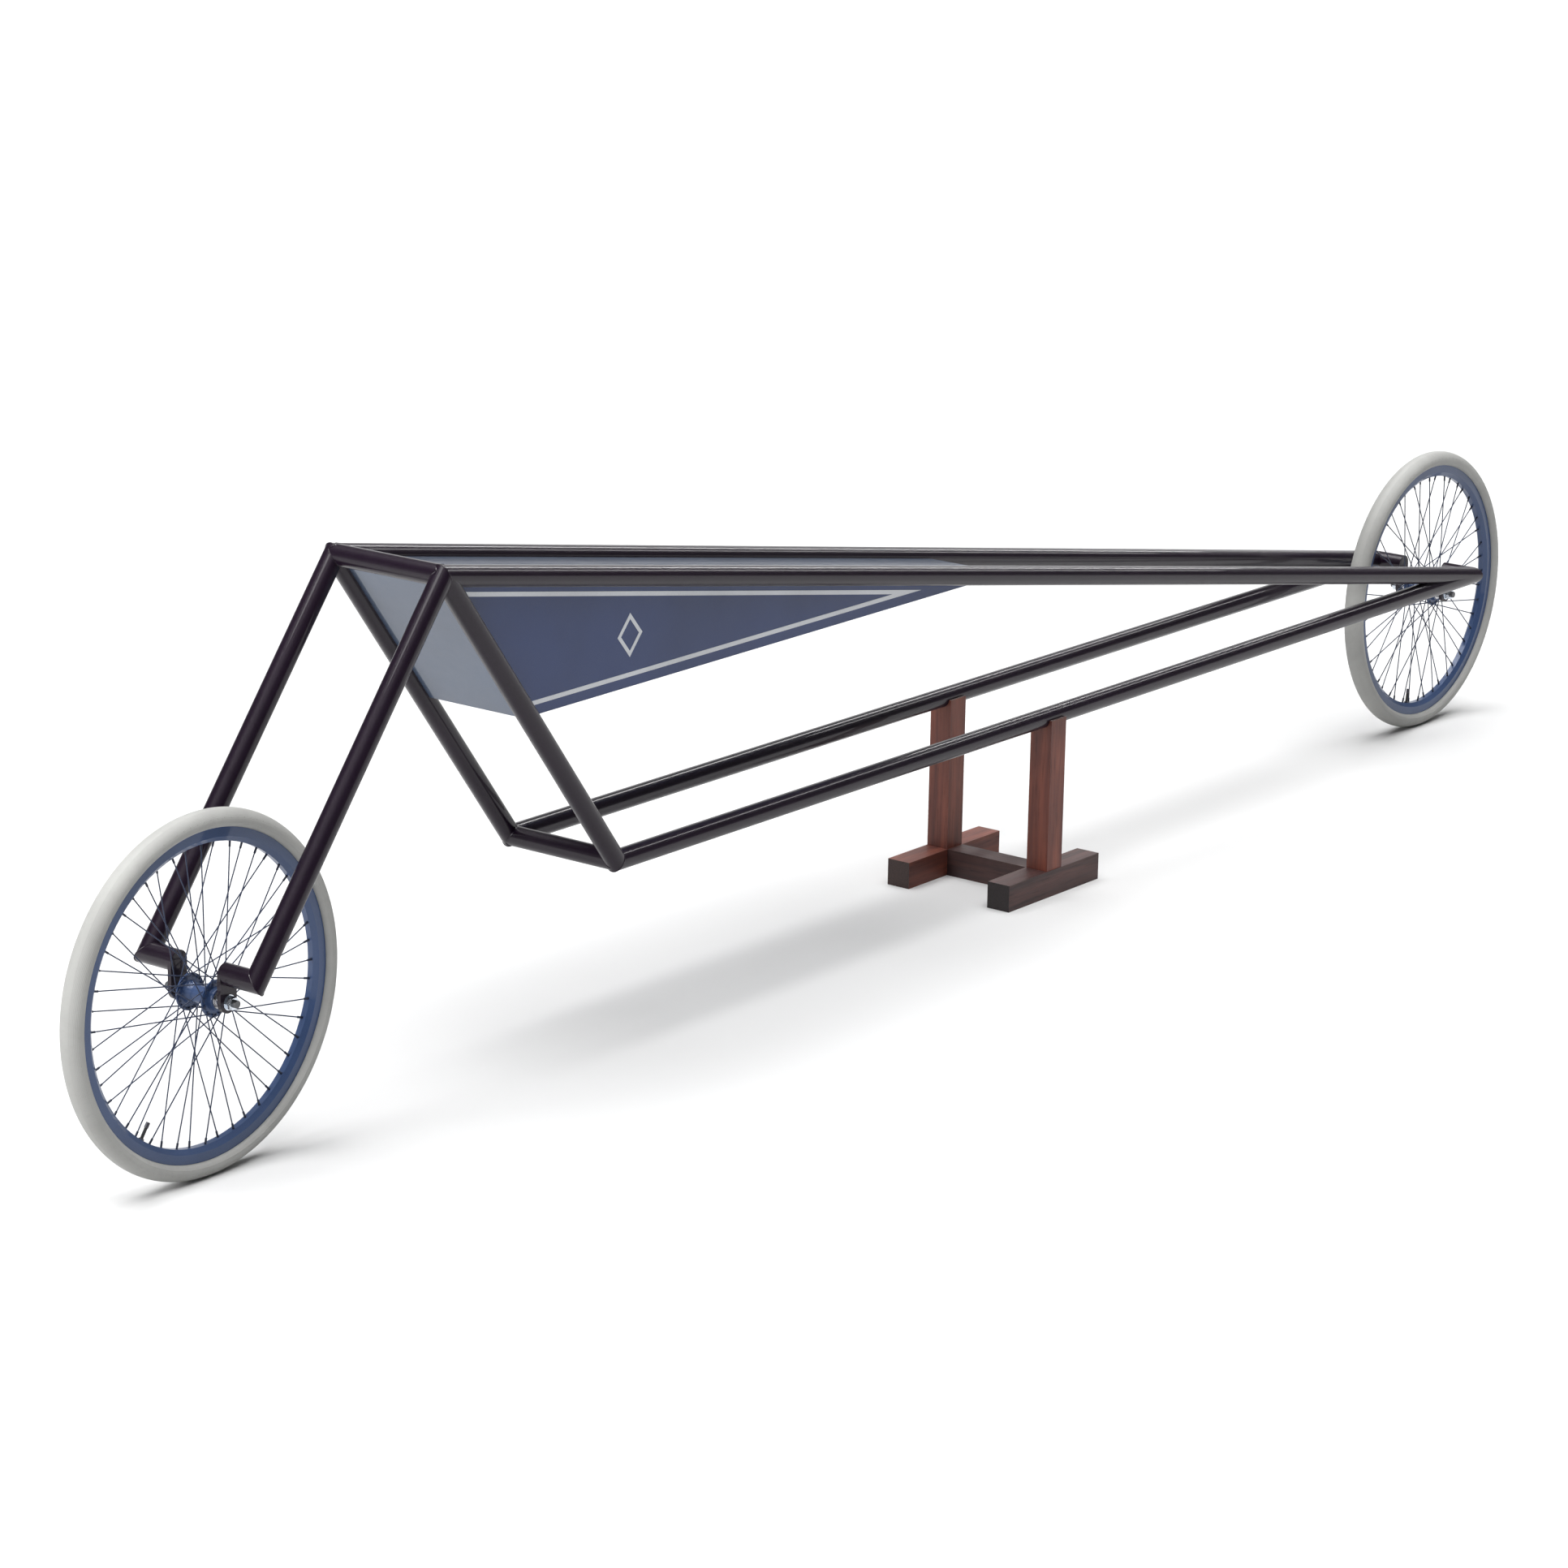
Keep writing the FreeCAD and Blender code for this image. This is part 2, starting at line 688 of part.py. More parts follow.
def ball_ring(x, sign):
    """The loose balls between one cup and its cone."""
    across = sizes.hub_half_length - sizes.cup_depth + sizes.ball_radius + 0.05
    balls = []
    for index in range(BALLS_PER_SIDE):
        centre = ring_point(x, sizes.ball_circle, 360.0 * index / BALLS_PER_SIDE, sign * across.number)
        ball = primitive("Sphere", Placement(centre, Rotation()), Radius=sizes.ball_radius)
        balls.append(ball)
    return balls


def build_wheel(name, x, valve_angle):
    place = Placement(Vector(float(x), 0, float(AXLE_HEIGHT)), Rotation())
    radial = ring_point(x, 1, valve_angle, 0) - ring_point(x, 0, valve_angle, 0)
    valve_start = ring_point(x, sizes.rim_floor_radius - sizes.valve_reach, valve_angle, 0)
    floor_point = ring_point(x, sizes.rim_floor_radius, valve_angle, 0)
    spokes = []
    nipples = []
    holes = [cylinder(floor_point - radial * MARGIN, radial, sizes.valve_radius + 0.3, 2 * MARGIN)]
    for sign, hub_angle, rim_angle, outside in spoke_angles():
        wire, nipple = spoke(x, sign, hub_angle, rim_angle, outside)
        spokes.append(wire)
        nipples.append(nipple)
        hole = ring_point(x, sizes.rim_floor_radius - 5, rim_angle, sign * SPOKE_STAGGER)
        outward = ring_point(x, sizes.rim_floor_radius, rim_angle, sign * SPOKE_STAGGER) - hole
        holes.append(cylinder(hole, outward, sizes.spoke_hole_radius, 10))
    node(f"{name}_spokes", group(spokes))
    node(f"{name}_nipples", group(nipples))
    node(f"{name}_rim", cut(turned(rim_outline(), place), fuse(*holes)))
    node(f"{name}_tyre", turned(tyre_outline(), place))
    node(f"{name}_rim_tape", cut(turned(tape_outline(), place), cylinder(
        floor_point, radial, sizes.valve_radius + 0.3, MARGIN)))
    node(f"{name}_inner_tube", inner_tube(x))
    stem_length = TYRE_HOLLOW_CENTRE - INNER_TUBE - sizes.rim_floor_radius + sizes.valve_reach
    stem = cylinder(valve_start, radial, sizes.valve_radius, stem_length)
    node(f"{name}_valve_stem", stem)
    node(f"{name}_valve_hardware", valve_hardware(valve_start, floor_point, radial))
    node(f"{name}_hub_shell", turned(hub_outline(), place))
    caps = []
    balls = []
    for _, sign in SIDES:
        start = sizes.hub_half_length - DUST_CAP_THICKNESS
        caps.append(washer_ring(x, start, sign, sizes.cup_radius, sizes.cone_radius + 0.4,
                                DUST_CAP_THICKNESS))
        balls += ball_ring(x, sign)
    node(f"{name}_dust_caps", group(caps))
    node(f"{name}_bearing_balls", group(balls))


def build_axles():
    """Each axle with its cones, and the locknuts, washers and nuts of both axles."""
    locknuts = []
    washers = []
    nuts = []
    locknut_start = DROPOUT_INNER - sizes.locknut_height
    nut_start = DROPOUT_OUTER + sizes.washer_thickness
    for name, x, _ in WHEELS:
        place = Placement(Vector(float(x), 0, float(AXLE_HEIGHT)), Rotation())
        start = Vector(float(x), -sizes.axle_length.number / 2, float(AXLE_HEIGHT))
        node(f"{name}_axle", cylinder(start, ACROSS, sizes.axle_radius, sizes.axle_length))
        node(f"{name}_bearing_cones", group([turned(cone_outline(sign), place) for _, sign in SIDES]))
        for _, sign in SIDES:
            locknuts.append(hex_nut(x, locknut_start, sign, sizes.locknut_across_flats,
                                    sizes.locknut_height))
            washers.append(washer_ring(x, DROPOUT_OUTER, sign, sizes.washer_radius,
                                       sizes.axle_radius, sizes.washer_thickness))
            nuts.append(hex_nut(x, nut_start, sign, sizes.nut_across_flats, sizes.nut_height))
    node("axle_locknuts", group(locknuts))
    node("axle_washers", group(washers))
    node("axle_nuts", group(nuts))


# ---------------------------------------------------------------- stand

def foot_dowels(sign):
    """Two level dowels that tie the cross beam to one foot."""
    middle = sizes.rail_offset - sizes.foot_width / 2
    start = middle - sizes.dowel_length / 2
    return [cylinder(Vector(float(sizes.stand_x) + shift, sign * float(start), float(sizes.foot_height) / 2),
                     Vector(0, sign, 0), sizes.dowel_radius, sizes.dowel_length)
            for shift in (-sizes.dowel_spacing.number / 2, sizes.dowel_spacing.number / 2)]


def post_dowels(sign):
    """Two upright dowels that tie a post to its foot."""
    start = sizes.foot_height - sizes.dowel_length / 2
    return [cylinder(Vector(float(sizes.stand_x) + shift, sign * float(sizes.rail_offset), float(start)),
                     Vector(0, 0, 1), sizes.dowel_radius, sizes.dowel_length)
            for shift in (-sizes.dowel_spacing.number / 2, sizes.dowel_spacing.number / 2)]


def stand_foot(sign):
    across = sign * sizes.rail_offset.number - sizes.foot_width.number / 2
    corner = Vector(float(sizes.stand_x - sizes.foot_length / 2), across, 0)
    block = box(corner, sizes.foot_length, sizes.foot_width, sizes.foot_height)
    return cut(block, *foot_dowels(sign), *post_dowels(sign))


def stand_post(sign):
    """A post whose top is hollowed to take the lower rail."""
    across = sign * sizes.rail_offset.number
    top = sizes.low_rail_height - sizes.tube_radius + sizes.saddle_depth
    corner = Vector(float(sizes.stand_x - sizes.post_depth / 2),
                    across - sizes.post_width.number / 2, float(sizes.foot_height))
    block = box(corner, sizes.post_depth, sizes.post_width, top - sizes.foot_height)
    saddle_start = Vector(float(sizes.stand_x) - MARGIN, across, float(sizes.low_rail_height))
    saddle = cylinder(saddle_start, Vector(1, 0, 0), sizes.tube_radius + sizes.saddle_gap, 2 * MARGIN)
    return cut(block, saddle, *post_dowels(sign))


def build_stand():
    dowels = []
    for name, sign in SIDES:
        node(f"stand_foot_{name}", stand_foot(sign))
        node(f"stand_post_{name}", stand_post(sign))
        dowels += foot_dowels(sign) + post_dowels(sign)
    span = sizes.rail_offset * 2 - sizes.foot_width
    corner = Vector(float(sizes.stand_x - sizes.post_depth / 2), -span.number / 2, 0)
    beam = box(corner, sizes.post_depth, span, sizes.foot_height)
    node("stand_crossbeam", cut(beam, *foot_dowels(1), *foot_dowels(-1)))
    node("stand_dowels", group(dowels))


# ---------------------------------------------------------------- build, check and write

build_frame()
build_tank()
build_axles()
for wheel_name, wheel_x, wheel_valve_angle in WHEELS:
    build_wheel(wheel_name, wheel_x, wheel_valve_angle)
build_stand()
doc.recompute()

for item in doc.Objects:
    if "Invalid" in item.State or "Error" in item.State:
        raise RuntimeError(f"{item.Name} ({item.Label}) failed: {item.State}")
for label, item in nodes.items():
    if item.Shape.isNull() or not item.Shape.isValid():
        raise RuntimeError(f"{label} has no valid shape")
    item.Shape.exportStep(f"parts/{label}.step")
    box_size = item.Shape.BoundBox
    print(f"{label}: {len(item.Shape.Solids)} solids, {item.Shape.Volume / 1000:.1f} cm3, "
          f"{box_size.XLength:.1f} x {box_size.YLength:.1f} x {box_size.ZLength:.1f}")
print(len(nodes), "nodes")
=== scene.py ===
"""Looks for the long tube-frame vehicle on its hardwood stand.

The frame of the model is +X forward, +Y left, +Z up, in metres, with the origin on the floor
midway between the axles.
"""
import json
import math

import bpy
from mathutils import Matrix, Vector


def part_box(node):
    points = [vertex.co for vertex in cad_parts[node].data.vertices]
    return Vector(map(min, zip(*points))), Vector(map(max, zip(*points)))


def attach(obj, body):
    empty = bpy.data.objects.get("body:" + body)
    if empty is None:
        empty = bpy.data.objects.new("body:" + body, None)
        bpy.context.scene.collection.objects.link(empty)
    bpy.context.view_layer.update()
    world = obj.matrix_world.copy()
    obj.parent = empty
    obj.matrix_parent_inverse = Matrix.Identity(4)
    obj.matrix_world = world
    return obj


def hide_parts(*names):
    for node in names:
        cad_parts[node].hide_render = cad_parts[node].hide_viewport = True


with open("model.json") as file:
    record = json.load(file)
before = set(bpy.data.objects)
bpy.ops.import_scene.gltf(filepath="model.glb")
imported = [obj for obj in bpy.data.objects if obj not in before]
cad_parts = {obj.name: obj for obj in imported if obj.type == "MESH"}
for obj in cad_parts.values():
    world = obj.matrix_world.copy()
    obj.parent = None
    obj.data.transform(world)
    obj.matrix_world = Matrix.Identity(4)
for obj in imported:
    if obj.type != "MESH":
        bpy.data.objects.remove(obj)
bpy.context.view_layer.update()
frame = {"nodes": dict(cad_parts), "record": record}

NODES = frame["nodes"]

# ---------------------------------------------------------------- sizes taken from the frame

WHEELS = ("front", "rear")
SIDES = (("left", 1), ("right", -1))
TUBE_RADIUS = 0.020
RAIL_OFFSET = 0.1285


def middle(node):
    low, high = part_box(node)
    return (low + high) / 2


AXLES = {name: middle(f"{name}_axle") for name in WHEELS}

# Corners of the frame's centre lines, in the plane of symmetry.
FORK_FOOT = Vector((AXLES["front"].x, 0, 0.380))
REAR_APEX = Vector((AXLES["rear"].x, 0, 0.384))
TOP_CORNER = Vector((1.579, 0, 1.009))
LOW_CORNER = Vector((1.096, 0, 0.384))
ACROSS = Vector((0, 1, 0))


# ---------------------------------------------------------------- node materials

# Socket numbers of the colour mix node, whose number, vector and colour sockets share their names.
MIX_FACTOR = 0
MIX_FIRST = 6
MIX_SECOND = 7
MIX_RESULT = 2


class Nodes:
    """Short hand for building one node material."""

    def __init__(self, name):
        self.material = bpy.data.materials.new(name)
        self.material.use_nodes = True
        self.tree = self.material.node_tree
        self.tree.nodes.clear()
        self.shader = self.add("ShaderNodeBsdfPrincipled")
        output = self.add("ShaderNodeOutputMaterial")
        self.join(self.shader, "BSDF", output, "Surface")

    def add(self, kind, **settings):
        node = self.tree.nodes.new(kind)
        for name, value in settings.items():
            if name in node.inputs:
                node.inputs[name].default_value = value
            else:
                setattr(node, name, value)
        return node

    def join(self, source, output, target, socket):
        self.tree.links.new(source.outputs[output], target.inputs[socket])

    def set(self, **values):
        for name, value in values.items():
            self.shader.inputs[name.replace("_", " ")].default_value = value

    def place(self, scale=(1, 1, 1), turn=(0, 0, 0)):
        """The object's own coordinates, scaled and turned."""
        coordinates = self.add("ShaderNodeTexCoord")
        mapping = self.add("ShaderNodeMapping")
        mapping.inputs["Scale"].default_value = scale
        mapping.inputs["Rotation"].default_value = turn
        self.join(coordinates, "Object", mapping, "Vector")
        return mapping

    def noise(self, place, scale, detail=4.0, roughness=0.5, distortion=0.0):
        node = self.add("ShaderNodeTexNoise", Scale=scale, Detail=detail,
                        Roughness=roughness, Distortion=distortion)
        self.join(place, "Vector", node, "Vector")
        return node

    def ramp(self, source, output, stops):
        node = self.add("ShaderNodeValToRGB")
        band = node.color_ramp
        while len(band.elements) < len(stops):
            band.elements.new(0.5)
        for element, (position, colour) in zip(band.elements, stops):
            element.position = position
            element.color = (*colour, 1)
        self.join(source, output, node, "Fac")
        return node

    def span(self, source, output, low, high):
        """Map 0..1 to low..high."""
        node = self.add("ShaderNodeMapRange")
        node.inputs["To Min"].default_value = low
        node.inputs["To Max"].default_value = high
        self.join(source, output, node, "Value")
        return node

    def mix(self, factor, first, second, blend="MIX"):
        """Colour mix; each argument is a number or colour, or a (node, output) pair."""
        node = self.add("ShaderNodeMix", data_type="RGBA", blend_type=blend)
        for socket, value in ((MIX_FACTOR, factor), (MIX_FIRST, first), (MIX_SECOND, second)):
            if isinstance(value, tuple) and isinstance(value[0], bpy.types.Node):
                self.tree.links.new(value[0].outputs[value[1]], node.inputs[socket])
            elif socket == MIX_FACTOR:
                node.inputs[socket].default_value = value
            else:
                node.inputs[socket].default_value = (*value, 1)
        return node

    def bump(self, source, output, strength, distance, target="Normal"):
        node = self.add("ShaderNodeBump")
        node.inputs["Strength"].default_value = strength
        node.inputs["Distance"].default_value = distance
        self.join(source, output, node, "Height")
        self.join(node, "Normal", self.shader, target)


def scaled(colour, factor):
    return tuple(channel * factor for channel in colour)


def paint(name, base, flake, flake_share, metallic, roughness,
          coat=1.0, coat_roughness=0.03, specular=0.5):
    """Gloss paint: fine metal flake under a clear coat that has a little dust and orange peel."""
    make = Nodes(name)
    place = make.place()
    cells = make.add("ShaderNodeTexVoronoi", Scale=2600.0)
    make.join(place, "Vector", cells, "Vector")
    glint = make.ramp(cells, "Color", [(0.55, (0, 0, 0)), (0.95, (1, 1, 1))])
    share = make.span(glint, "Color", 0.0, flake_share)
    cloud = make.noise(place, 3.5, 3.0)
    tone = make.ramp(cloud, "Fac", [(0.35, scaled(base, 0.86)), (0.65, scaled(base, 1.12))])
    colour = make.mix((share, "Result"), (tone, "Color"), flake)
    make.tree.links.new(colour.outputs[MIX_RESULT], make.shader.inputs["Base Color"])
    smudge = make.noise(place, 38.0, 6.0, 0.65)
    rough = make.span(smudge, "Fac", roughness - 0.06, roughness + 0.08)
    make.join(rough, "Result", make.shader, "Roughness")
    film = make.span(smudge, "Fac", coat_roughness * 0.4, coat_roughness * 1.9)
    make.join(film, "Result", make.shader, "Coat Roughness")
    make.set(Metallic=metallic, Coat_Weight=coat, Coat_IOR=1.5, Specular_IOR_Level=specular)
    make.bump(cells, "Distance", 0.06, 0.0002)
    peel = make.noise(place, 420.0, 2.0)
    make.bump(peel, "Fac", 0.010, 0.0005, target="Coat Normal")
    return make.material


def metal(name, colour, roughness, grain=900.0, grime=(0.05, 0.04, 0.03)):
    """Plated or turned steel with fine scratches and a trace of grime."""
    make = Nodes(name)
    place = make.place()
    fine = make.add("ShaderNodeTexNoise", Scale=grain, Detail=4.0)
    stretch = make.place((1.0, 0.08, 1.0))
    make.join(stretch, "Vector", fine, "Vector")
    dirt = make.noise(place, 55.0, 6.0, 0.7)
    mask = make.ramp(dirt, "Fac", [(0.55, (0, 0, 0)), (0.82, (0.55, 0.55, 0.55))])
    tint = make.mix((mask, "Color"), colour, grime)
    make.tree.links.new(tint.outputs[MIX_RESULT], make.shader.inputs["Base Color"])
    rough = make.span(fine, "Fac", roughness * 0.7, roughness * 1.5)
    make.join(rough, "Result", make.shader, "Roughness")
    make.set(Metallic=1.0)
    make.bump(fine, "Fac", 0.08, 0.0003)
    return make.material


def rubber(name, colour, stain, roughness=0.62):
    """Moulded rubber with a fine skin, faint stains and uneven dust."""
    make = Nodes(name)
    place = make.place()
    broad = make.noise(place, 7.0, 5.0, 0.6, 0.4)
    small = make.noise(place, 90.0, 6.0, 0.65)
    patch = make.ramp(broad, "Fac", [(0.38, (0, 0, 0)), (0.72, (0.55, 0.55, 0.55))])
    speck = make.ramp(small, "Fac", [(0.56, (0, 0, 0)), (0.80, (0.35, 0.35, 0.35))])
    first = make.mix((patch, "Color"), colour, stain)
    second = make.mix((speck, "Color"), (first, MIX_RESULT), stain)
    make.tree.links.new(second.outputs[MIX_RESULT], make.shader.inputs["Base Color"])
    rough = make.span(small, "Fac", roughness - 0.12, roughness + 0.12)
    make.join(rough, "Result", make.shader, "Roughness")
    make.set(Specular_IOR_Level=0.35)
    skin = make.noise(place, 1500.0, 3.0)
    make.bump(skin, "Fac", 0.12, 0.0003)
    return make.material


def wood(name, along, light, dark, end):
    """Oiled dark hardwood: straight grain along one axis, open pores and darker end grain."""
    make = Nodes(name)
    index = "XYZ".index(along)
    stretch = [1.0, 1.0, 1.0]
    stretch[index] = 0.06
    place = make.place(tuple(stretch))
    bands = make.noise(place, 55.0, 4.0, 0.55, 0.6)
    streaks = make.noise(place, 260.0, 5.0, 0.6)
    patch = make.noise(make.place(), 5.0, 3.0, 0.5)
    between = tuple((a + b) / 2 for a, b in zip(light, dark))
    tone = make.ramp(bands, "Fac", [(0.30, dark), (0.52, between), (0.74, light)])
    shade = make.ramp(patch, "Fac", [(0.35, (0.72, 0.70, 0.70)), (0.65, (1.12, 1.08, 1.05))])
    toned = make.mix(1.0, (tone, "Color"), (shade, "Color"), "MULTIPLY")
    pore = make.ramp(streaks, "Fac", [(0.30, (0.45, 0.45, 0.45)), (0.44, (1, 1, 1))])
    pored = make.mix(0.8, (toned, MIX_RESULT), (pore, "Color"), "MULTIPLY")
    geometry = make.add("ShaderNodeNewGeometry")
    split = make.add("ShaderNodeSeparateXYZ")
    make.join(geometry, "Normal", split, "Vector")
    size = make.add("ShaderNodeMath", operation="ABSOLUTE")
    make.join(split, along, size, 0)
    face = make.ramp(size, "Value", [(0.90, (0, 0, 0)), (0.97, (1, 1, 1))])
    dots = make.noise(make.place(), 420.0, 3.0, 0.6)
    end_tone = make.ramp(dots, "Fac", [(0.40, scaled(end, 0.55)), (0.62, end)])
    colour = make.mix((face, "Color"), (pored, MIX_RESULT), (end_tone, "Color"))
    make.tree.links.new(colour.outputs[MIX_RESULT], make.shader.inputs["Base Color"])
    rough = make.span(streaks, "Fac", 0.62, 0.38)
    make.join(rough, "Result", make.shader, "Roughness")
    make.set(Specular_IOR_Level=0.4)
    make.bump(streaks, "Fac", 0.22, 0.0006)
    return make.material


AUBERGINE = (0.0062, 0.0024, 0.0068)
TANK_BLUE = (0.0135, 0.0285, 0.0980)
WHEEL_BLUE = (0.030, 0.056, 0.135)
SPOKE_BLUE = (0.020, 0.030, 0.066)

LOOKS = {
    "frame_paint": paint("frame_aubergine", AUBERGINE, (0.120, 0.060, 0.170), 0.12,
                         0.10, 0.34, 0.38, 0.010, 0.16),
    "tank_paint": paint("tank_blue", TANK_BLUE, (0.07, 0.10, 0.20), 0.2, 0.10, 0.40, 0.4, 0.03, 0.2),
    "rim_paint": paint("rim_blue", WHEEL_BLUE, (0.10, 0.16, 0.30), 0.15, 0.10, 0.40, 0.45, 0.04, 0.25),
    "hub_paint": paint("hub_blue", WHEEL_BLUE, (0.10, 0.16, 0.30), 0.15, 0.10, 0.40, 0.45, 0.04, 0.25),
    "spoke_paint": paint("spoke_blue", SPOKE_BLUE, (0.06, 0.09, 0.16), 0.2, 0.1, 0.5, 0.15, 0.2, 0.25),
    "nipple_paint": paint("nipple_blue", (0.012, 0.017, 0.036), (0.04, 0.05, 0.09), 0.2,
                          0.1, 0.5, 0.2, 0.2, 0.25),
    "tyre_white": rubber("tyre_white", (0.33, 0.33, 0.318), (0.24, 0.24, 0.23), 0.62),
    "tape_rubber": rubber("tape_black", (0.05, 0.05, 0.05), (0.09, 0.085, 0.08)),
    "tube_rubber": rubber("tube_black", (0.04, 0.04, 0.04), (0.08, 0.075, 0.07)),
    "valve_rubber": rubber("valve_black", (0.018, 0.018, 0.020), (0.05, 0.05, 0.05), 0.42),
    "valve_metal": metal("valve_steel", (0.10, 0.10, 0.115), 0.34),
    "axle_steel": metal("axle_steel", (0.12, 0.12, 0.125), 0.38),
    "bearing_steel": metal("bearing_steel", (0.52, 0.52, 0.54), 0.22),
    "nut_zinc": metal("nut_zinc", (0.62, 0.66, 0.72), 0.18, grime=(0.16, 0.17, 0.18)),
    "dowel_wood": wood("dowel_wood", "Z", (0.20, 0.10, 0.055), (0.12, 0.055, 0.03), (0.10, 0.05, 0.03)),
}
RED_WOOD = ((0.205, 0.056, 0.032), (0.085, 0.022, 0.016), (0.036, 0.016, 0.013))
DARK_WOOD = ((0.082, 0.034, 0.030), (0.030, 0.014, 0.015), (0.016, 0.009, 0.010))
WOODS = {
    "stand_foot_left": wood("wood_foot_left", "X", *DARK_WOOD),
    "stand_foot_right": wood("wood_foot_right", "X", *RED_WOOD),
    "stand_crossbeam": wood("wood_crossbeam", "Y", *DARK_WOOD),
    "stand_post_left": wood("wood_post_left", "Z", *RED_WOOD),
    "stand_post_right": wood("wood_post_right", "Z", *RED_WOOD),
}
SILVER = paint("stripe_silver", (0.36, 0.375, 0.40), (0.62, 0.64, 0.68), 0.5, 0.55, 0.36)

# The tank's front and top get paler copies of the side panels' blue paint. This is painted reflection:
# the sheen of the bright surroundings is painted into the colour of what is the same paint.
PAINTED_REFLECTION_PANELS = {
    "tank_front": paint("tank_front_blue_painted_reflection", (0.026, 0.046, 0.088), (0.09, 0.12, 0.19), 0.3,
                        0.15, 0.38, 0.8, 0.03, 0.3),
    "tank_top": paint("tank_top_blue_painted_reflection", (0.060, 0.080, 0.120), (0.10, 0.13, 0.20), 0.3,
                      0.15, 0.38, 0.7, 0.03, 0.3),
}

SLOTS = {entry["node"]: entry["material_slot"] for entry in frame["record"]["subparts"]}
for node_name, item in NODES.items():
    look = WOODS.get(node_name) or PAINTED_REFLECTION_PANELS.get(node_name) or LOOKS[SLOTS[node_name]]
    item.data.materials.clear()
    item.data.materials.append(look)


# ---------------------------------------------------------------- building blocks

def piece(name, vertices, faces, look, body, smooth=True, sharp_angle=40):
    mesh = bpy.data.meshes.new(name)
    mesh.from_pydata([tuple(v) for v in vertices], [], faces)
    mesh.validate()
    mesh.update()
    item = bpy.data.objects.new(name, mesh)
    bpy.context.scene.collection.objects.link(item)
    mesh.materials.append(look)
    if smooth:
        mesh.shade_smooth()
        mesh.set_sharp_from_angle(angle=math.radians(sharp_angle))
    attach(item, body)
    return item


def merged(parts):
    """Join several (vertices, faces) into one."""
    vertices = []
    faces = []
    for more_vertices, more_faces in parts:
        start = len(vertices)
        vertices += more_vertices
        faces += [tuple(start + index for index in face) for face in more_faces]
    return vertices, faces


def loop_skin(rings):
    """Quads between successive rings of equal length, the last joined to the first."""
    count = len(rings[0])
    vertices = [vertex for ring in rings for vertex in ring]
    faces = []
    for index in range(len(rings)):
        first = index * count
        second = ((index + 1) % len(rings)) * count
        for side in range(count):
            following = (side + 1) % count
            faces.append((first + side, first + following, second + following, second + side))
    return vertices, faces


def swept(points, radius, normal_of, sides=8):
    """A round bead along a closed line, with its own steady pair of directions at each point."""
    rings = []
    count = len(points)
    for index, spot in enumerate(points):
        ahead = (points[(index + 1) % count] - points[index - 1]).normalized()
        first = normal_of(spot)
        first = (first - ahead * first.dot(ahead)).normalized()
        second = ahead.cross(first)
        rings.append([spot + (first * math.cos(turn) + second * math.sin(turn)) * radius
                      for turn in (math.tau * side / sides for side in range(sides))])
    return loop_skin(rings)


def turned_ring(outline, centre, segments):
    """A solid of revolution about a line along Y through the centre."""
    rings = []
    for index in range(segments):
        angle = math.tau * index / segments
        out = Vector((math.cos(angle), 0, math.sin(angle)))
        rings.append([centre + out * radius + ACROSS * offset for radius, offset in outline])
    return loop_skin(rings)


def side_point(place, sign):
    return Vector((place.x, sign * RAIL_OFFSET, place.z))


# ---------------------------------------------------------------- weld seams

SEAM_RADIUS = 0.0009
SEAM_STEPS = 96


def mitre_seam(corner, heading, normal):
    """The bead where a tube meets its neighbour on a plane through the corner."""
    first = heading.orthogonal().normalized()
    second = heading.cross(first)
    points = []
    for step in range(SEAM_STEPS):
        turn = math.tau * step / SEAM_STEPS
        out = (first * math.cos(turn) + second * math.sin(turn)) * TUBE_RADIUS
        points.append(corner + out - heading * (out.dot(normal) / heading.dot(normal)))
    return swept(points, SEAM_RADIUS, lambda spot: spot - corner)


def cope_seam(corner, sign, mitred, others=()):
    """The bead where a cross tube ends against a mitred pair of side tubes and any other ones."""
    points = []
    for step in range(SEAM_STEPS):
        turn = math.tau * step / SEAM_STEPS
        out = Vector((math.cos(turn), 0, math.sin(turn))) * TUBE_RADIUS
        depth = abs(max(out.dot(member) for member in mitred))
        depth = max([depth] + [out.dot(member) for member in others])
        points.append(corner + out - ACROSS * (sign * depth))
    return swept(points, SEAM_RADIUS, lambda spot: spot - corner)


def build_seams():
    leg = (FORK_FOOT - TOP_CORNER).normalized()
    rail = (REAR_APEX - TOP_CORNER).normalized()
    down = (LOW_CORNER - TOP_CORNER).normalized()
    low = (REAR_APEX - LOW_CORNER).normalized()
    seams = []
    for _, sign in SIDES:
        inward = Vector((0, -sign, 0))
        seams.append(mitre_seam(side_point(TOP_CORNER, sign), leg, rail - leg))
        seams.append(mitre_seam(side_point(FORK_FOOT, sign), -leg, inward + leg))
        seams.append(mitre_seam(side_point(LOW_CORNER, sign), low, low + down))
        seams.append(cope_seam(side_point(TOP_CORNER, sign), sign, [leg, rail], [down]))
        seams.append(cope_seam(side_point(LOW_CORNER, sign), sign, [low, -down]))
    vertices, faces = merged(seams)
    piece("weld_seams", vertices, faces, LOOKS["frame_paint"], "frame")


# ---------------------------------------------------------------- tank trim

PANEL_FACE = 0.1195
TRIM_THICKNESS = 0.0004
TANK_FRONT_SHARE = 0.485
TANK_TAIL_X = -0.136
STRIPE_WIDTH = 0.0085
STRIPE_FROM_DOWN_TUBE = 0.0175
STRIPE_FROM_RAIL = 0.030
STRIPE_FROM_FLOOR = 0.018
BADGE_CENTRE = Vector((1.050, 0, 0.805))
BADGE_HALF_WIDTH = 0.036
BADGE_HALF_HEIGHT = 0.042
BADGE_HOLE_SHARE = 0.72


def line_through(start, heading):
    return start, heading.normalized()


def crossing(first, second):
    """Where two (point, heading) lines in the XZ plane meet."""
    (a, u), (b, v) = first, second
    turn = u.x * v.z - u.z * v.x
    gap = b - a
    return a + u * ((gap.x * v.z - gap.z * v.x) / turn)


